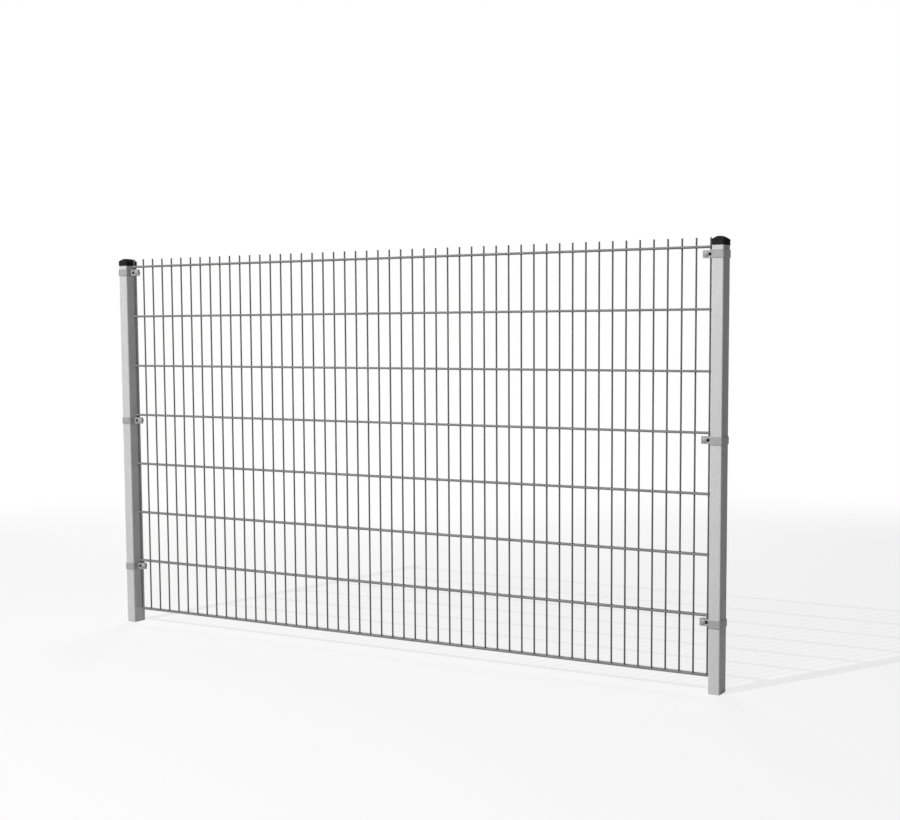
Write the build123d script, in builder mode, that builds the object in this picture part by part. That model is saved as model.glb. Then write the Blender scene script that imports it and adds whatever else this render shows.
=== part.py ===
from build123d import *
import math
import os

# A bay of double wire mesh fence: one welded mesh panel, two tube posts with caps,
# and three bolted clamps on each post that grip the panel's end wires.
# Millimetres. X runs along the fence, -Y is the front, Z is up. The origin is on the
# floor, midway between the posts and in the plane of the upright wires.

# Mesh panel
upright_diameter = 6.0
upright_pitch = 50.0
upright_count = 51
row_wire_diameter = 8.0
row_pitch = 200.0
row_count = 8
weld_sink = 0.4  # how deep a weld lets one wire into the other
upright_tip = 30.0  # upright wire above the axis of the top row
row_wire_end = 4.0  # row wire past the axis of an end wire
ground_gap = 52.0  # floor to the underside of the lowest row

# Posts
post_width = 40.0
post_depth = 60.0
post_wall = 2.0
post_corner_radius = 4.0
post_to_end_wire = 14.5  # inner face of the post to the axis of the end wire
post_above_top_row = 21.0  # top of the tube above the axis of the top row

# Post caps
cap_skirt = 17.0  # length of the skirt over the tube
cap_fit = 0.3
cap_wall = 1.2
cap_seat = 1.0  # ceiling inside the tube's bore, round the pocket in the crown
cap_rim = 1.7  # upright edge between the ceiling and the crown
cap_crown = 10.0  # height of the sloping crown
cap_crown_inset = 15.0
cap_crown_bulge = 1.1  # 1 gives the crown straight slopes, 2 rounds them to an ellipse
cap_crown_steps = 6
cap_roof = 2.0
cap_top_radius = 3.0

# Clamp straps
strap_thickness = 2.5
strap_height = 25.0
strap_fit = 0.3
strap_below_row = 7.0  # underside of a row wire to the top edge of the strap
ear_bend = 2.0  # inside radius where an ear leaves the post
lip_bend = 0.8  # inside radius of the lip on the front ear
lip_depth = 6.5  # front of the ear to the free edge of the lip
rear_ear_past_washer = 2.3

# Wire inserts
insert_wall = 1.0  # plastic between the end wire and each ear
insert_width = 12.0
insert_height = 22.0
insert_wire_fit = 0.1
insert_mouth = 5.0  # slot that lets the insert snap over the wire
lug_width = 9.0
lug_height = 10.0
lug_fit = 0.2
lug_proud = 0.5

# Clamp bolts, washers and nuts
bolt_diameter = 6.0
bolt_past_nut = 1.4
bolt_end_chamfer = 0.8
head_diameter = 18.5
head_height = 4.6
head_rim = 0.8
head_to_lug = 0.95
head_to_ear_tip = 2.75
neck_length = 3.5
neck_fit = 0.15
ear_hole_fit = 0.5
washer_diameter = 12.0
washer_thickness = 1.6
washer_fit = 0.2
nut_across_flats = 10.0
nut_height = 5.0
nut_fit = 0.05
nut_face_diameter = 9.5  # round end faces left by the chamfers
nut_chamfer_angle = 30.0

# Places along the fence
end_wire_x = upright_pitch * (upright_count - 1) / 2
upright_places = [upright_pitch * number - end_wire_x for number in range(upright_count)]
post_face_x = end_wire_x + post_to_end_wire
post_x = post_face_x + post_width / 2

# Heights
lowest_row_z = ground_gap + row_wire_diameter / 2
row_heights = [lowest_row_z + row_pitch * number for number in range(row_count)]
top_row_z = row_heights[-1]
post_height = top_row_z + post_above_top_row
strap_below_axis = row_wire_diameter / 2 + strap_below_row + strap_height / 2
clamp_rows = {"bottom": 1, "middle": row_count // 2, "top": row_count - 1}

# Depths from the plane of the upright wires
row_wire_y = (upright_diameter + row_wire_diameter) / 2 - weld_sink
ear_inner_y = upright_diameter / 2 + insert_wall
ear_middle_y = ear_inner_y + strap_thickness / 2
ear_outer_y = ear_inner_y + strap_thickness
washer_back_y = ear_outer_y + washer_thickness
nut_back_y = washer_back_y + nut_height
bolt_end_y = nut_back_y + bolt_past_nut

# Places along a clamp, from the inner face of its post
bolt_from_wire = lug_width / 2 + head_to_lug + head_diameter / 2
bolt_from_face = post_to_end_wire + bolt_from_wire
ear_length = bolt_from_face + head_diameter / 2 + head_to_ear_tip
rear_ear_length = bolt_from_face + washer_diameter / 2 + rear_ear_past_washer

sides = {"left": -1, "right": 1}
os.makedirs("parts", exist_ok=True)


def write_piece(piece, name):
    piece.part.label = name
    export_step(piece.part, f"parts/{name}.step")


def corner_radius(radius, width, depth):
    """The wanted radius, or the largest that the section has room for."""
    return min(radius, 0.45 * min(width, depth))


def make_row_wire(name, y, z):
    with BuildPart() as wire:
        with BuildSketch(Plane.YZ.offset(-end_wire_x - row_wire_end)):
            with Locations((y, z)):
                Circle(row_wire_diameter / 2)
        extrude(amount=2 * (end_wire_x + row_wire_end))
    write_piece(wire, name)


def make_uprights(name, places):
    """Upright wires at these places along the panel, flush with the lowest row's underside."""
    with BuildPart() as uprights:
        with BuildSketch(Plane.XY.offset(ground_gap)):
            with Locations([(x, 0) for x in places]):
                Circle(upright_diameter / 2)
        extrude(amount=top_row_z + upright_tip - ground_gap)
    write_piece(uprights, name)


def make_post(name, side):
    with BuildPart() as post:
        with BuildSketch(Plane((side * post_x, 0, 0))):
            RectangleRounded(
                post_width, post_depth, corner_radius(post_corner_radius, post_width, post_depth)
            )
            offset(amount=-post_wall, mode=Mode.SUBTRACT)
        extrude(amount=post_height)
    write_piece(post, name)


def crown_levels(width, depth, radius, inset, rise):
    """Sections of a crown from its eave to its top: width, depth, corner radius and height."""
    levels = []
    for step in range(cap_crown_steps + 1):
        share = step / cap_crown_steps
        climb = (1 - (1 - share) ** cap_crown_bulge) ** (1 / cap_crown_bulge)
        level_width = width - 2 * inset * share
        level_depth = depth - 2 * inset * share
        wanted = radius + (cap_top_radius - radius) * share
        level_radius = corner_radius(wanted, level_width, level_depth)
        levels.append((level_width, level_depth, level_radius, rise * climb))
    return levels


def make_cap(name, side):
    bore_width = post_width + 2 * cap_fit
    bore_depth = post_depth + 2 * cap_fit
    bore_radius = post_corner_radius + cap_fit
    pocket_step = post_wall + cap_seat
    pocket_inset = cap_crown_inset - cap_wall - cap_fit - pocket_step
    skirt_z = post_height - cap_skirt
    eave_z = post_height + cap_rim
    outside = crown_levels(
        bore_width + 2 * cap_wall,
        bore_depth + 2 * cap_wall,
        bore_radius + cap_wall,
        cap_crown_inset,
        cap_crown,
    )
    pocket = crown_levels(
        post_width - 2 * pocket_step,
        post_depth - 2 * pocket_step,
        post_corner_radius,
        pocket_inset,
        cap_rim + cap_crown - cap_roof,
    )
    with BuildPart() as cap:
        with BuildSketch(Plane((side * post_x, 0, skirt_z))):
            RectangleRounded(*outside[0][:3])
        extrude(amount=eave_z - skirt_z)
        for width, depth, radius, rise in outside:
            with BuildSketch(Plane((side * post_x, 0, eave_z + rise))):
                RectangleRounded(width, depth, radius)
        loft(ruled=True)
        with BuildSketch(Plane((side * post_x, 0, skirt_z))):
            RectangleRounded(bore_width, bore_depth, corner_radius(bore_radius, bore_width, bore_depth))
        extrude(amount=cap_skirt, mode=Mode.SUBTRACT)
        for width, depth, radius, rise in pocket:
            with BuildSketch(Plane((side * post_x, 0, post_height + rise))):
                RectangleRounded(width, depth, radius)
        loft(ruled=True, mode=Mode.SUBTRACT)
    write_piece(cap, name)


def clamp_plane(side, z):
    """Local X leaves the inner face of the post along the panel, local Y points to the front."""
    return Plane(origin=(side * post_face_x, 0, z), x_dir=(-side, 0, 0), z_dir=(0, 0, side))


def bolt_plane(side, z, y=0.0):
    """Square to the bolt's axis: local Z points to the front."""
    return Plane(origin=(side * (post_face_x - bolt_from_face), y, z), z_dir=(0, -1, 0))


def lug_plane(side, z, y=0.0):
    """As the bolt's plane, on the axis of the end wire."""
    return Plane(origin=(side * end_wire_x, y, z), z_dir=(0, -1, 0))


def strap_run():
    """Middle line of the bent strap: lip, front ear, once round the post, rear ear."""
    half = strap_thickness / 2
    near = strap_fit + half
    far = -post_width - near
    out = post_depth / 2 + near
    corner = post_corner_radius + near
    points = [
        (ear_length - half, ear_outer_y - lip_depth),
        (ear_length - half, ear_middle_y),
        (near, ear_middle_y),
        (near, out),
        (far, out),
        (far, -out),
        (near, -out),
        (near, -ear_middle_y),
        (rear_ear_length, -ear_middle_y),
    ]
    radii = [lip_bend + half, ear_bend + half, corner, corner, corner, corner, ear_bend + half]
    return points, radii


def make_strap(name, side, z):
    points, radii = strap_run()
    neck_hole = bolt_diameter + 2 * neck_fit
    with BuildPart() as strap:
        with BuildSketch(clamp_plane(side, z)):
            with BuildLine():
                FilletPolyline(*points, radius=radii)
            trace(line_width=strap_thickness)
        extrude(amount=strap_height / 2, both=True)
        with BuildSketch(bolt_plane(side, z)):
            Rectangle(neck_hole, neck_hole)
        with BuildSketch(lug_plane(side, z)):
            Rectangle(lug_width + 2 * lug_fit, lug_height + 2 * lug_fit)
        extrude(amount=ear_outer_y, mode=Mode.SUBTRACT)
        with BuildSketch(bolt_plane(side, z)):
            Circle(bolt_diameter / 2 + ear_hole_fit)
        extrude(amount=-ear_outer_y, mode=Mode.SUBTRACT)
    write_piece(strap, name)


def make_insert(name, side, z):
    with BuildPart() as insert:
        with BuildSketch(clamp_plane(side, z)):
            with Locations((post_to_end_wire, 0)):
                Rectangle(insert_width, 2 * ear_inner_y)
                Rectangle(
                    insert_width / 2, insert_mouth, align=(Align.MAX, Align.CENTER), mode=Mode.SUBTRACT
                )
                Circle(upright_diameter / 2 + insert_wire_fit, mode=Mode.SUBTRACT)
        extrude(amount=insert_height / 2, both=True)
        with BuildSketch(lug_plane(side, z, -ear_inner_y)):
            Rectangle(lug_width, lug_height)
        extrude(amount=strap_thickness + lug_proud)
    write_piece(insert, name)


def make_bolt(name, side, z):
    place = bolt_plane(side, z).origin
    radius = bolt_diameter / 2
    head_radius = head_diameter / 2
    crown = (0, -ear_outer_y - head_height)
    rim = (head_radius, -ear_outer_y - head_rim)
    with BuildPart() as bolt:
        with BuildSketch(Plane(place)):
            with BuildLine():
                TangentArc(crown, rim, tangent=(1, 0))
                Polyline(
                    rim,
                    (head_radius, -ear_outer_y),
                    (radius, -ear_outer_y),
                    (radius, bolt_end_y - bolt_end_chamfer),
                    (radius - bolt_end_chamfer, bolt_end_y),
                    (0, bolt_end_y),
                    crown,
                )
            make_face()
        revolve(axis=Axis(place, (0, 1, 0)))
        with BuildSketch(bolt_plane(side, z, -ear_outer_y)):
            Rectangle(bolt_diameter, bolt_diameter)
        extrude(amount=-neck_length)
    write_piece(bolt, name)


def make_washer(name, side, z):
    with BuildPart() as washer:
        with BuildSketch(bolt_plane(side, z, ear_outer_y)):
            Circle(washer_diameter / 2)
            Circle(bolt_diameter / 2 + washer_fit, mode=Mode.SUBTRACT)
        extrude(amount=-washer_thickness)
    write_piece(washer, name)


def make_nut(name, side, z):
    place = bolt_plane(side, z).origin
    face_radius = nut_face_diameter / 2
    middle_y = (washer_back_y + nut_back_y) / 2
    spread = nut_height / 2 / math.tan(math.radians(nut_chamfer_angle))
    with BuildPart() as nut:
        with BuildSketch(bolt_plane(side, z, washer_back_y)):
            RegularPolygon(nut_across_flats / 2, 6, major_radius=False)
            Circle(bolt_diameter / 2 + nut_fit, mode=Mode.SUBTRACT)
        extrude(amount=-nut_height)
        with BuildSketch(Plane(place)):
            Polygon(
                (0, washer_back_y),
                (face_radius, washer_back_y),
                (face_radius + spread, middle_y),
                (face_radius, nut_back_y),
                (0, nut_back_y),
                align=None,
            )
        revolve(axis=Axis(place, (0, 1, 0)), mode=Mode.INTERSECT)
    write_piece(nut, name)


make_uprights("left_end_wire", upright_places[:1])
make_uprights("inner_upright_wires", upright_places[1:-1])
make_uprights("right_end_wire", upright_places[-1:])
for number, height in enumerate(row_heights, start=1):
    make_row_wire(f"row_{number}_front_wire", -row_wire_y, height)
    make_row_wire(f"row_{number}_rear_wire", row_wire_y, height)
for hand, sign in sides.items():
    make_post(f"{hand}_post", sign)
    make_cap(f"{hand}_post_cap", sign)
    for level, row in clamp_rows.items():
        clamp_z = row_heights[row] - strap_below_axis
        make_strap(f"{hand}_{level}_clamp_strap", sign, clamp_z)
        make_insert(f"{hand}_{level}_wire_insert", sign, clamp_z)
        make_bolt(f"{hand}_{level}_clamp_bolt", sign, clamp_z)
        make_washer(f"{hand}_{level}_washer", sign, clamp_z)
        make_nut(f"{hand}_{level}_nut", sign, clamp_z)
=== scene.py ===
import math
import random

import bmesh
import bpy
from mathutils import Matrix, Vector


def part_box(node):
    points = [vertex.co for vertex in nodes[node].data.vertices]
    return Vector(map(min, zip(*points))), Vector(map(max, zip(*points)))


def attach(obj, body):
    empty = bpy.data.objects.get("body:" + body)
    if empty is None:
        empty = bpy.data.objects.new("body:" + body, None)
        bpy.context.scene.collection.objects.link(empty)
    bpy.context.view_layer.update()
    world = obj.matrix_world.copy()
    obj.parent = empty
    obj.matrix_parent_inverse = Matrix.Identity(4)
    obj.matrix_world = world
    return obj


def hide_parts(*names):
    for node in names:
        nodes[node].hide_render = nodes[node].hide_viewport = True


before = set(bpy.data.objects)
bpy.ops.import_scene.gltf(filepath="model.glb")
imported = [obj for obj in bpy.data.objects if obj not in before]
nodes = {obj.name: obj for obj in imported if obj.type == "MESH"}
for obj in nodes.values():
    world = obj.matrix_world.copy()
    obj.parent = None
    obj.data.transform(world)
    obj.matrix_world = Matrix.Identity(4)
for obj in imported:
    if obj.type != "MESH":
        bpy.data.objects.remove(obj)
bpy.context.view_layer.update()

# A bay of double wire mesh fence between two capped tube posts, with bolted clamps.
# Lengths are metres and angles degrees. X runs along the fence, -Y is the front and Z is up.

millimetre = 0.001
hands = ("left", "right")
clamps = [f"{hand}_{level}" for hand in hands for level in ("bottom", "middle", "top")]
row_wires = sorted(name for name in nodes if name.startswith("row_"))
upright_wires = ["left_end_wire", "inner_upright_wires", "right_end_wire"]

# Camera, worked out from the mesh of known size in the photograph
image_size = (900, 820)
focal_pixels = 1393.2
principal_pixel = (550.4, 458.9)
camera_place = (2.9231, -4.2327, 1.1433)
camera_tilt = 85.296
camera_turn = 28.086
sensor_width = 36.0

# Light
key_place = (-2.18, -6.57, 7.12)
key_power = 2480.0
key_radius = 0.012
front_fill_place = (1.4, -4.5, 4.5)
front_fill_power = 105.0
back_fill_place = (-3.5, 5.5, 3.5)
back_fill_power = 220.0
fill_target = (0.0, 0.0, 0.7)
fill_size = 2.5
ambient_light = 0.01

# Floor, which fades to white away from the fence
floor_half = 40.0
floor_drop = 0.2 * millimetre
floor_glow = 0.961
floor_shadow_share = 0.23
floor_bounce = 0.72
floor_white = 1.0
fade_start = 3.7
fade_end = 6.2

# Finishes. Grain scales are cells to a metre along each axis.
lines_along_x = (9.0, 1300.0, 1300.0)
lines_along_z = (1300.0, 1300.0, 9.0)
lines_all_ways = (800.0, 800.0, 800.0)
line_detail = 2.0
fine_detail = 2.0
fine_share = 0.5
rough_span = (0.2, 0.8)
edge_samples = 4
edge_span = (0.7, 0.98)

wire_cloud_scale = (25.0, 25.0, 25.0)
wire_cloud_detail = 4.0
wire_cloud_share = 0.55
wire_crystal_size = 3 * millimetre
wire_line_share = 0.35
wire_weld_lift = -0.08
wire_tone_span = (0.2, 0.75)
wire_roughness = (0.66, 0.46)
wire_fine_scale = (1500.0, 1500.0, 1500.0)
wire_relief_depth = 0.06 * millimetre
wire_relief_strength = 0.3
wire_shine = 0.04
wire_gloss = 0.15

sheet_cloud_scale = (7.0, 7.0, 4.0)
sheet_cloud_detail = 5.0
sheet_line_share = 0.25
sheet_edge_lift = 0.25
sheet_tone_span = (0.25, 0.8)
sheet_rough_play = 0.1
sheet_fine_scale = (1200.0, 1200.0, 1200.0)
sheet_relief_depth = 0.05 * millimetre
sheet_relief_strength = 0.25
sheet_gloss_to_shine = 2

plastic_bloom_scale = (45.0, 45.0, 45.0)
plastic_bloom_detail = 5.0
plastic_scuff_lift = 0.35
plastic_tone_span = (0.25, 0.9)
plastic_rough_play = 0.08
plastic_grain_detail = 1.0
plastic_relief_depth = 0.08 * millimetre
plastic_relief_strength = 0.35
plastic_gloss = 0.003

# Mesh panel
upright_pitch = 50 * millimetre
wire_end_edge = 0.5 * millimetre
weld_half_width = 2.6 * millimetre
weld_half_depth = 1.0 * millimetre
weld_half_height = 2.8 * millimetre
weld_variation = 0.12
weld_sides = 8
weld_rings = 5
weld_tint_start = 3 * millimetre
weld_tint_end = 14 * millimetre

# Rounded edges and smooth shading
merge_distance = 0.002 * millimetre
flat_angle = 0.5
sharp_angle = 35.0
smooth_angle = 25.0
facing_limit = 0.99
edge_steps = 2
round_profile = 0.5
strap_edge = 0.35 * millimetre
insert_edge = 0.45 * millimetre
washer_edge = 0.2 * millimetre
nut_edge = 0.12 * millimetre

# Post caps
cap_wall = 1.2 * millimetre
cap_corner = 5.5 * millimetre
cap_corner_steps = 6
cap_crown_rise = 10 * millimetre
cap_crown_inset = 15 * millimetre
cap_crown_bulge = 1.1
cap_crown_steps = 6
cap_seat = 3 * millimetre
cap_pocket_rise = 8 * millimetre
cap_pocket_taper = 0.5
cap_moulded_edge = 0.9 * millimetre
cap_lip_edge = 0.4 * millimetre

# Bolts and nuts
thread_pitch = 1.0 * millimetre
thread_steps = 24
bolt_core_radius = 2.4 * millimetre
bolt_crest_radius = 2.97 * millimetre
bolt_thread_root = 0.9 * millimetre
bolt_thread_crest = 0.2 * millimetre
bolt_thread_stop = 0.8 * millimetre
bolt_tip_chamfer = 0.5 * millimetre
head_rim = 0.8 * millimetre
head_edge = 0.25 * millimetre
head_arc_steps = 8
round_steps = 40
neck_length = 3.5 * millimetre
neck_edge = 0.3 * millimetre
nut_bore_radius = 3.05 * millimetre
nut_crest_radius = 2.5 * millimetre
nut_thread_root = 0.8 * millimetre
nut_thread_crest = 0.15 * millimetre
nut_thread_stop = 0.6 * millimetre
sink = 0.15 * millimetre


def node_tools(owner):
    """Short ways to add a node to a material or world and to link two sockets."""
    tree = owner.node_tree

    def add(kind, **settings):
        node = tree.nodes.new(kind)
        for name, value in settings.items():
            setattr(node, name, value)
        return node

    return add, tree.links.new


def new_finish(name):
    material = bpy.data.materials.new(name)
    material.use_nodes = True
    add, link = node_tools(material)
    place = add("ShaderNodeTexCoord").outputs["Object"]
    return material, add, link, material.node_tree.nodes["Principled BSDF"], place


def ranged(add, link, value, start, end, low=0.0, high=1.0, curve="LINEAR"):
    """Maps a value from one range to another and holds it there."""
    node = add("ShaderNodeMapRange", interpolation_type=curve)
    for name, number in zip(("From Min", "From Max", "To Min", "To Max"), (start, end, low, high)):
        node.inputs[name].default_value = number
    link(value, node.inputs["Value"])
    return node.outputs["Result"]


def mixed(add, link, first, second, share):
    """A fixed share of the second value over the first."""
    node = add("ShaderNodeMix", data_type="FLOAT")
    node.inputs["Factor"].default_value = share
    link(first, node.inputs["A"])
    link(second, node.inputs["B"])
    return node.outputs["Result"]


def grey_between(add, link, share, dark, light):
    """A neutral grey between two levels."""
    node = add("ShaderNodeMix", data_type="RGBA")
    node.inputs["A"].default_value = (dark, dark, dark, 1)
    node.inputs["B"].default_value = (light, light, light, 1)
    link(share, node.inputs["Factor"])
    return node.outputs["Result"]


def grain(add, link, place, scale, detail):
    """Noise with this many cells to a metre along each axis."""
    mapping = add("ShaderNodeMapping")
    mapping.inputs["Scale"].default_value = scale
    link(place, mapping.inputs["Vector"])
    node = add("ShaderNodeTexNoise")
    node.inputs["Scale"].default_value = 1.0
    node.inputs["Detail"].default_value = detail
    link(mapping.outputs["Vector"], node.inputs["Vector"])
    return node.outputs["Fac"]


def spangle(add, link, place, size):
    """Zinc crystals: one random level in each cell."""
    cells = add("ShaderNodeTexVoronoi")
    cells.inputs["Scale"].default_value = 1 / size
    link(place, cells.inputs["Vector"])
    split = add("ShaderNodeSeparateColor")
    link(cells.outputs["Color"], split.inputs["Color"])
    return split.outputs["Red"]


def worn_edges(add, link, radius):
    """One along sharp edges and nought on open surfaces."""
    softened = add("ShaderNodeBevel", samples=edge_samples)
    softened.inputs["Radius"].default_value = radius
    agreement = add("ShaderNodeVectorMath", operation="DOT_PRODUCT")
    link(softened.outputs["Normal"], agreement.inputs[0])
    link(add("ShaderNodeNewGeometry").outputs["Normal"], agreement.inputs[1])
    return ranged(add, link, agreement.outputs["Value"], *edge_span, 1.0, 0.0)


def near_welds(add, link, place, axis, first, pitch):
    """One beside each weld along a wire, fading to nought."""
    split = add("ShaderNodeSeparateXYZ")
    link(place, split.inputs["Vector"])
    along = add("ShaderNodeMath", operation="SUBTRACT")
    along.inputs[1].default_value = first
    link(split.outputs[axis], along.inputs[0])
    away = add("ShaderNodeMath", operation="PINGPONG")
    away.inputs[1].default_value = pitch / 2
    link(along.outputs["Value"], away.inputs[0])
    return ranged(add, link, away.outputs["Value"], weld_tint_start, weld_tint_end, 1.0, 0.0, "SMOOTHSTEP")


def lifted(add, link, value, mask, lift):
    """A value with a lift added where a mask is one."""
    node = add("ShaderNodeMath", operation="MULTIPLY_ADD")
    node.inputs[1].default_value = lift
    link(mask, node.inputs[0])
    link(value, node.inputs[2])
    return node.outputs["Value"]


def relief(add, link, surface, height, depth, strength):
    bump = add("ShaderNodeBump")
    bump.inputs["Strength"].default_value = strength
    bump.inputs["Distance"].default_value = depth
    link(height, bump.inputs["Height"])
    link(bump.outputs["Normal"], surface.inputs["Normal"])


def wire_zinc(name, dull, bright, line_scale, axis, first, pitch):
    """Dull galvanised wire: drawing lines along it, small spangle, and darker zinc beside the welds."""
    material, add, link, surface, place = new_finish(name)
    lines = grain(add, link, place, line_scale, line_detail)
    cloud = grain(add, link, place, wire_cloud_scale, wire_cloud_detail)
    crystals = spangle(add, link, place, wire_crystal_size)
    tone = mixed(add, link, mixed(add, link, crystals, cloud, wire_cloud_share), lines, wire_line_share)
    dulled = lifted(add, link, tone, near_welds(add, link, place, axis, first, pitch), wire_weld_lift)
    share = ranged(add, link, dulled, *wire_tone_span)
    link(grey_between(add, link, share, dull, bright), surface.inputs["Base Color"])
    link(ranged(add, link, dulled, *rough_span, *wire_roughness), surface.inputs["Roughness"])
    fine = grain(add, link, place, wire_fine_scale, fine_detail)
    height = mixed(add, link, lines, fine, fine_share)
    relief(add, link, surface, height, wire_relief_depth, wire_relief_strength)
    surface.inputs["Metallic"].default_value = wire_shine
    surface.inputs["Specular IOR Level"].default_value = wire_gloss
    return material


def zinc_steel(name, dull, bright, rough, crystal_size, contrast, line_scale, edge, shine):
    """Galvanised sheet or plate: spangle, clouds, rolling lines and brighter edges."""
    material, add, link, surface, place = new_finish(name)
    lines = grain(add, link, place, line_scale, line_detail)
    cloud = grain(add, link, place, sheet_cloud_scale, sheet_cloud_detail)
    crystals = spangle(add, link, place, crystal_size)
    tone = mixed(add, link, mixed(add, link, cloud, crystals, contrast), lines, sheet_line_share)
    rubbed = lifted(add, link, tone, worn_edges(add, link, edge), sheet_edge_lift)
    share = ranged(add, link, rubbed, *sheet_tone_span)
    link(grey_between(add, link, share, dull, bright), surface.inputs["Base Color"])
    roughness = ranged(add, link, rubbed, *rough_span, rough + sheet_rough_play, rough - sheet_rough_play)
    link(roughness, surface.inputs["Roughness"])
    fine = grain(add, link, place, sheet_fine_scale, fine_detail)
    height = mixed(add, link, lines, fine, fine_share)
    relief(add, link, surface, height, sheet_relief_depth, sheet_relief_strength)
    surface.inputs["Metallic"].default_value = shine
    surface.inputs["Specular IOR Level"].default_value = sheet_gloss_to_shine * shine
    return material


def black_plastic(name, dark, light, rough, grain_size, edge):
    """Moulded black plastic: fine mould grain, a faint bloom and scuffed edges."""
    material, add, link, surface, place = new_finish(name)
    bloom = grain(add, link, place, plastic_bloom_scale, plastic_bloom_detail)
    scuffed = lifted(add, link, bloom, worn_edges(add, link, edge), plastic_scuff_lift)
    share = ranged(add, link, scuffed, *plastic_tone_span)
    link(grey_between(add, link, share, dark, light), surface.inputs["Base Color"])
    roughness = ranged(add, link, bloom, *rough_span, rough - plastic_rough_play, rough + plastic_rough_play)
    link(roughness, surface.inputs["Roughness"])
    cells = 1 / grain_size
    mould_grain = grain(add, link, place, (cells, cells, cells), plastic_grain_detail)
    relief(add, link, surface, mould_grain, plastic_relief_depth, plastic_relief_strength)
    surface.inputs["Specular IOR Level"].default_value = plastic_gloss
    return material


def middle(node):
    low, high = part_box(node)
    return (low + high) / 2


first_row = middle("row_1_front_wire")
row_pitch = middle("row_2_front_wire").z - first_row.z
first_upright = middle("left_end_wire").x
upright_zinc = wire_zinc(
    "upright_wire_zinc", dull=0.087, bright=0.152, line_scale=lines_along_z,
    axis="Z", first=first_row.z, pitch=row_pitch,
)
# Painted light: the row wires are the same zinc as the uprights, given a lighter tone that paints the light
# falling on their tops.
row_zinc_painted_light = wire_zinc(
    "row_wire_zinc_painted_light", dull=0.174, bright=0.27, line_scale=lines_along_x,
    axis="X", first=first_upright, pitch=upright_pitch,
)
weld_zinc = wire_zinc(
    "weld_zinc", dull=0.13, bright=0.205, line_scale=lines_all_ways,
    axis="X", first=first_upright, pitch=upright_pitch,
)
tube_zinc = zinc_steel(
    "tube_zinc", dull=0.555, bright=0.655, rough=0.5, crystal_size=9 * millimetre, contrast=0.22,
    line_scale=lines_along_z, edge=0.8 * millimetre, shine=0.02,
)
strap_zinc = zinc_steel(
    "strap_zinc", dull=0.335, bright=0.435, rough=0.5, crystal_size=5 * millimetre, contrast=0.3,
    line_scale=lines_along_x, edge=0.6 * millimetre, shine=0.1,
)
bolt_zinc = zinc_steel(
    "bolt_zinc", dull=0.3, bright=0.4, rough=0.5, crystal_size=3 * millimetre, contrast=0.3,
    line_scale=lines_all_ways, edge=0.4 * millimetre, shine=0.15,
)
cap_plastic = black_plastic(
    "cap_plastic", dark=0.017, light=0.035, rough=0.6, grain_size=0.5 * millimetre, edge=0.8 * millimetre
)
insert_plastic = black_plastic(
    "insert_plastic", dark=0.004, light=0.012, rough=0.65, grain_size=0.4 * millimetre, edge=0.4 * millimetre
)


def finish_piece(shape, name, material, slot, body, *stands_for):
    """Makes an object of a bmesh, with its finish, and lets it ride on a body."""
    mesh = bpy.data.meshes.new(name)
    shape.to_mesh(mesh)
    shape.free()
    mesh.polygons.foreach_set("use_smooth", [True] * len(mesh.polygons))
    mesh.set_sharp_from_angle(angle=math.radians(smooth_angle))
    mesh.materials.append(material)
    piece = bpy.data.objects.new(name, mesh)
    bpy.context.scene.collection.objects.link(piece)
    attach(piece, body)
    if stands_for:
        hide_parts(*stands_for)


def round_edges(shape, lines, edge):
    bmesh.ops.bevel(
        shape, geom=lines, offset=edge, segments=edge_steps, profile=round_profile,
        affect="EDGES", material=-1, clamp_overlap=True,
    )


def eased(node, edge):
    """A merged copy of a solid with its sharp edges rounded."""
    shape = bmesh.new()
    shape.from_mesh(nodes[node].data)
    bmesh.ops.remove_doubles(shape, verts=shape.verts, dist=merge_distance)
    bmesh.ops.dissolve_limit(
        shape, angle_limit=math.radians(flat_angle), verts=shape.verts, edges=shape.edges
    )
    sharp = math.radians(sharp_angle)
    round_edges(
        shape, [line for line in shape.edges if line.is_manifold and line.calc_face_angle() > sharp], edge
    )
    return shape


def make_welds(wire):
    """A flattened bead in the angle of each crossing of a row wire and an upright."""
    uprights = round((middle("right_end_wire").x - first_upright) / upright_pitch) + 1
    contact = (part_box("left_end_wire")[0].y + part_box("row_1_front_wire")[1].y) / 2
    across = middle(wire)
    chance = random.Random(wire)
    shape = bmesh.new()
    for number in range(uprights):
        size = [chance.uniform(1 - weld_variation, 1 + weld_variation) for _ in range(3)]
        half = (weld_half_width * size[0], weld_half_depth * size[1], weld_half_height * size[2])
        place = (first_upright + number * upright_pitch, math.copysign(contact, across.y), across.z)
        bmesh.ops.create_uvsphere(
            shape, u_segments=weld_sides, v_segments=weld_rings, radius=1,
            matrix=Matrix.Translation(place) @ Matrix.Diagonal((*half, 1)),
        )
    name = wire.replace("_wire", "_welds")
    finish_piece(shape, name, weld_zinc, "galvanised_wire", "fence_frame")


def face_towards(shape, direction):
    """The face that lies furthest in a direction and faces it."""
    facing = [face for face in shape.faces if face.normal.dot(direction) > facing_limit]
    return max(facing, key=lambda face: face.calc_center_median().dot(direction))


def grow_face(shape, face, scale, rise):
    """Extrudes a level face upwards and scales the new one about its middle."""
    new = bmesh.ops.extrude_discrete_faces(shape, faces=[face])["faces"][0]
    bmesh.ops.scale(
        shape, vec=(*scale, 1), verts=new.verts, space=Matrix.Translation(-new.calc_center_median())
    )
    bmesh.ops.translate(shape, vec=(0, 0, rise), verts=new.verts)
    return new


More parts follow.
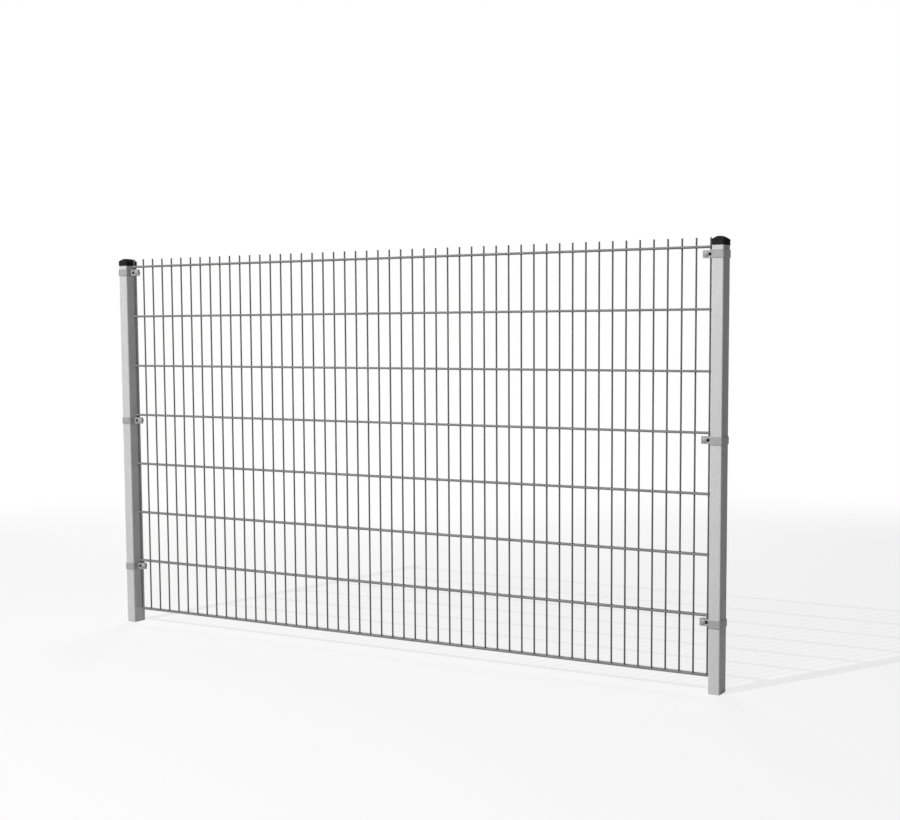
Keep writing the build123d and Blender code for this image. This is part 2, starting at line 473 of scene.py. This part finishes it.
def make_cap(hand):
    """A black cap with a skirt round the tube and a sloping crown with rounded hips."""
    node = f"{hand}_post_cap"
    low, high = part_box(node)
    size = high - low
    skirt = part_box(f"{hand}_post")[1].z - low.z
    eave = size.z - cap_crown_rise
    up = Vector((0, 0, 1))
    shape = bmesh.new()
    bmesh.ops.create_cube(shape, size=1)
    bmesh.ops.scale(shape, vec=(size.x, size.y, eave), verts=shape.verts)
    bmesh.ops.translate(shape, vec=(0, 0, eave / 2), verts=shape.verts)
    upright = [line for line in shape.edges if abs(line.verts[0].co.z - line.verts[1].co.z) > eave / 2]
    bmesh.ops.bevel(
        shape, geom=upright, offset=cap_corner, segments=cap_corner_steps, profile=round_profile,
        affect="EDGES", material=-1,
    )
    crown = face_towards(shape, up)
    soft_lines = set(crown.edges)
    width, depth, height = size.x, size.y, 0.0
    for step in range(1, cap_crown_steps + 1):
        share = step / cap_crown_steps
        climb = (1 - (1 - share) ** cap_crown_bulge) ** (1 / cap_crown_bulge)
        new_width = size.x - 2 * cap_crown_inset * share
        new_depth = size.y - 2 * cap_crown_inset * share
        new_height = cap_crown_rise * climb
        crown = grow_face(shape, crown, (new_width / width, new_depth / depth), new_height - height)
        width, depth, height = new_width, new_depth, new_height
    soft_lines.update(crown.edges)
    mouth = face_towards(shape, -up)
    lip_lines = set(mouth.edges)
    bmesh.ops.inset_region(shape, faces=[mouth], thickness=cap_wall)
    lip_lines.update(mouth.edges)
    ceiling = grow_face(shape, mouth, (1, 1), skirt)
    bmesh.ops.inset_region(shape, faces=[ceiling], thickness=cap_seat)
    grow_face(shape, ceiling, (cap_pocket_taper, cap_pocket_taper), cap_pocket_rise)
    round_edges(shape, [line for line in soft_lines if line.is_valid], cap_moulded_edge)
    round_edges(shape, [line for line in lip_lines if line.is_valid], cap_lip_edge)
    bmesh.ops.translate(shape, vec=(middle(node).x, middle(node).y, low.z), verts=shape.verts)
    bmesh.ops.recalc_face_normals(shape, faces=shape.faces)
    finish_piece(shape, f"{hand}_moulded_cap", cap_plastic, "black_plastic", f"{hand}_cap_body", node)


def turned(shape, outline):
    """Turns an outline of radius and height about Z. It starts and ends on the axis."""
    points = [shape.verts.new((radius, 0, height)) for radius, height in outline]
    lines = [shape.edges.new(pair) for pair in zip(points, points[1:])]
    bmesh.ops.spin(
        shape, geom=points + lines, cent=(0, 0, 0), axis=(0, 0, 1), angle=math.tau,
        steps=round_steps, use_merge=True,
    )
    bmesh.ops.remove_doubles(shape, verts=shape.verts, dist=merge_distance)


def add_thread(shape, root, crest, root_width, crest_width, start, end, offset=0.0):
    """A helical ridge about Z with closed ends. Its turns lie one pitch apart from the offset on."""
    steps = round((end - start) / thread_pitch * thread_steps)
    phase = Matrix.Rotation(math.tau * (start - offset) / thread_pitch, 3, "Z")
    profile = [
        (root, -root_width / 2), (crest, -crest_width / 2), (crest, crest_width / 2), (root, root_width / 2)
    ]
    points = [shape.verts.new(phase @ Vector((radius, 0, start + height))) for radius, height in profile]
    lines = [shape.edges.new((points[corner - 1], points[corner])) for corner in range(len(points))]
    ridge = bmesh.ops.spin(
        shape, geom=points + lines, cent=(0, 0, 0), axis=(0, 0, 1), angle=math.tau * steps / thread_steps,
        dvec=(0, 0, thread_pitch / thread_steps), steps=steps,
    )
    shape.faces.new(points)
    shape.faces.new([item for item in ridge["geom_last"] if isinstance(item, bmesh.types.BMVert)])


def ear_front(clamp):
    """The ears lie evenly about the panel's plane, and the washer lies on the back of the rear one."""
    return -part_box(f"{clamp}_washer")[0].y


def stand_on_bolt_axis(shape, clamp):
    """Turns a shape about Z so that its axis runs to the back from the front of the ear."""
    bolt = middle(f"{clamp}_clamp_bolt")
    bmesh.ops.rotate(shape, matrix=Matrix.Rotation(-math.pi / 2, 3, "X"), verts=shape.verts)
    bmesh.ops.translate(shape, vec=(bolt.x, ear_front(clamp), bolt.z), verts=shape.verts)
    bmesh.ops.recalc_face_normals(shape, faces=shape.faces)


def make_bolt(clamp):
    """A cup head bolt with a square neck and a cut thread."""
    node = f"{clamp}_clamp_bolt"
    low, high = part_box(node)
    head_height = ear_front(clamp) - low.y
    head_radius = (high.x - low.x) / 2
    length = high.y - ear_front(clamp)
    crown_height = head_height - head_rim
    crown_radius = (head_radius**2 + crown_height**2) / (2 * crown_height)
    head = []
    for step in range(head_arc_steps + 1):
        bend = math.asin(head_radius / crown_radius) * step / head_arc_steps
        head.append((crown_radius * math.sin(bend), crown_radius * (1 - math.cos(bend)) - head_height))
    head += [(head_radius, -head_edge), (head_radius - head_edge, 0), (0, 0)]
    shape = bmesh.new()
    turned(shape, head)
    tip = length - bolt_tip_chamfer
    turned(shape, [(0, -sink), (bolt_core_radius, -sink), (bolt_core_radius, tip),
                   (bolt_core_radius - bolt_tip_chamfer, length), (0, length)])
    neck = bmesh.ops.create_cube(shape, size=1)["verts"]
    side = 2 * bolt_crest_radius
    bmesh.ops.scale(shape, vec=(side, side, neck_length + sink), verts=neck)
    bmesh.ops.translate(shape, vec=(0, 0, (neck_length - sink) / 2), verts=neck)
    round_edges(shape, list({line for point in neck for line in point.link_edges}), neck_edge)
    add_thread(
        shape, bolt_core_radius - sink, bolt_crest_radius, bolt_thread_root, bolt_thread_crest,
        neck_length, length - bolt_thread_stop,
    )
    stand_on_bolt_axis(shape, clamp)
    finish_piece(shape, f"{clamp}_cup_head_bolt", bolt_zinc, "zinc_fastener", "fence_frame", node)


def make_nut(clamp):
    """A hexagon nut with its thread, which lies in the grooves of the bolt's."""
    node = f"{clamp}_nut"
    low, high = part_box(node)
    shape = eased(node, nut_edge)
    thread = bmesh.new()
    add_thread(
        thread, nut_bore_radius + sink, nut_crest_radius, nut_thread_root, nut_thread_crest,
        low.y - ear_front(clamp) + nut_thread_stop, high.y - ear_front(clamp) - nut_thread_stop,
        thread_pitch / 2,
    )
    stand_on_bolt_axis(thread, clamp)
    ridge = bpy.data.meshes.new(f"{clamp}_nut_thread")
    thread.to_mesh(ridge)
    thread.free()
    shape.from_mesh(ridge)
    bpy.data.meshes.remove(ridge)
    finish_piece(shape, f"{clamp}_threaded_nut", bolt_zinc, "zinc_fastener", f"{clamp}_nut_body", node)


for name in upright_wires:
    finish_piece(
        eased(name, wire_end_edge), f"{name}_cut", upright_zinc, "galvanised_wire", "fence_frame", name
    )
for name in row_wires:
    finish_piece(eased(name, wire_end_edge), f"{name}_cut", row_zinc_painted_light, "galvanised_wire", "fence_frame", name)
    make_welds(name)
for hand in hands:
    nodes[f"{hand}_post"].data.materials[0] = tube_zinc
    make_cap(hand)
for clamp in clamps:
    strap, insert, washer = f"{clamp}_clamp_strap", f"{clamp}_wire_insert", f"{clamp}_washer"
    finish_piece(
        eased(strap, strap_edge), f"{clamp}_bent_strap", strap_zinc, "strap_steel", "fence_frame", strap
    )
    finish_piece(
        eased(insert, insert_edge), f"{clamp}_moulded_insert", insert_plastic, "insert_plastic",
        "fence_frame", insert,
    )
    finish_piece(
        eased(washer, washer_edge), f"{clamp}_flat_washer", bolt_zinc, "zinc_fastener",
        f"{clamp}_washer_body", washer,
    )
    make_bolt(clamp)
    make_nut(clamp)


def add_to_scene(name, data, place=(0, 0, 0)):
    thing = bpy.data.objects.new(name, data)
    thing.location = place
    bpy.context.scene.collection.objects.link(thing)
    return thing


def make_camera():
    data = bpy.data.cameras.new("camera")
    data.sensor_fit = "HORIZONTAL"
    data.sensor_width = sensor_width
    width, height = image_size
    data.lens = focal_pixels * sensor_width / width
    data.shift_x = (width / 2 - principal_pixel[0]) / width
    data.shift_y = (principal_pixel[1] - height / 2) / width
    camera = add_to_scene("camera", data, camera_place)
    camera.rotation_euler = (math.radians(camera_tilt), 0, math.radians(camera_turn))
    bpy.context.scene.camera = camera


def make_fill(name, place, power):
    """A soft square lamp that looks at the middle of the fence."""
    lamp = bpy.data.lights.new(name, "AREA")
    lamp.energy = power
    lamp.size = fill_size
    towards = Vector(fill_target) - Vector(place)
    add_to_scene(name, lamp, place).rotation_euler = towards.to_track_quat("-Z", "Y").to_euler()


def make_lamps():
    key = bpy.data.lights.new("key", "POINT")
    key.energy = key_power
    key.shadow_soft_size = key_radius
    add_to_scene("key", key, key_place)
    make_fill("front_fill", front_fill_place, front_fill_power)
    make_fill("back_fill", back_fill_place, back_fill_power)


def seen_rays(add, link):
    """One for rays from the camera, a mirror or glass, and nought for rays that carry light."""
    path = add("ShaderNodeLightPath")
    total = path.outputs["Is Camera Ray"]
    for kind in ("Is Glossy Ray", "Is Transmission Ray"):
        joined = add("ShaderNodeMath", operation="MAXIMUM")
        link(total, joined.inputs[0])
        link(path.outputs[kind], joined.inputs[1])
        total = joined.outputs["Value"]
    return total


def make_world():
    world = bpy.data.worlds.new("studio")
    world.use_nodes = True
    bpy.context.scene.world = world
    add, link = node_tools(world)
    background = world.node_tree.nodes["Background"]
    background.inputs["Color"].default_value = (1, 1, 1, 1)
    link(ranged(add, link, seen_rays(add, link), 0.0, 1.0, ambient_light, 1.0), background.inputs["Strength"])


def blend_shaders(add, link, share, first, second):
    """A share of the second shader over the first. The share is a number or a socket."""
    node = add("ShaderNodeMixShader")
    if isinstance(share, float):
        node.inputs["Fac"].default_value = share
    else:
        link(share, node.inputs["Fac"])
    link(first, node.inputs[1])
    link(second, node.inputs[2])
    return node.outputs["Shader"]


def make_floor():
    shape = bmesh.new()
    bmesh.ops.create_grid(shape, x_segments=1, y_segments=1, size=floor_half)
    bmesh.ops.translate(shape, vec=(0, 0, -floor_drop), verts=shape.verts)
    mesh = bpy.data.meshes.new("floor")
    shape.to_mesh(mesh)
    shape.free()
    add_to_scene("floor", mesh)
    material = bpy.data.materials.new("studio_floor")
    material.use_nodes = True
    mesh.materials.append(material)
    tree = material.node_tree
    tree.nodes.remove(tree.nodes["Principled BSDF"])
    add, link = node_tools(material)

    def matt(level):
        node = add("ShaderNodeBsdfDiffuse")
        node.inputs["Color"].default_value = (level, level, level, 1)
        return node.outputs["BSDF"]

    def glow(strength):
        node = add("ShaderNodeEmission")
        node.inputs["Strength"].default_value = strength
        return node.outputs["Emission"]

    away = add("ShaderNodeVectorMath", operation="LENGTH")
    link(add("ShaderNodeTexCoord").outputs["Object"], away.inputs[0])
    fade = ranged(add, link, away.outputs["Value"], fade_start, fade_end, curve="SMOOTHSTEP")
    near = blend_shaders(add, link, floor_shadow_share, glow(floor_glow), matt(floor_white))
    seen = blend_shaders(add, link, fade, near, glow(floor_white))
    whole = blend_shaders(add, link, seen_rays(add, link), matt(floor_bounce), seen)
    link(whole, tree.nodes["Material Output"].inputs["Surface"])


make_camera()
make_lamps()
make_world()
make_floor()
bpy.context.scene.view_settings.view_transform = "Standard"
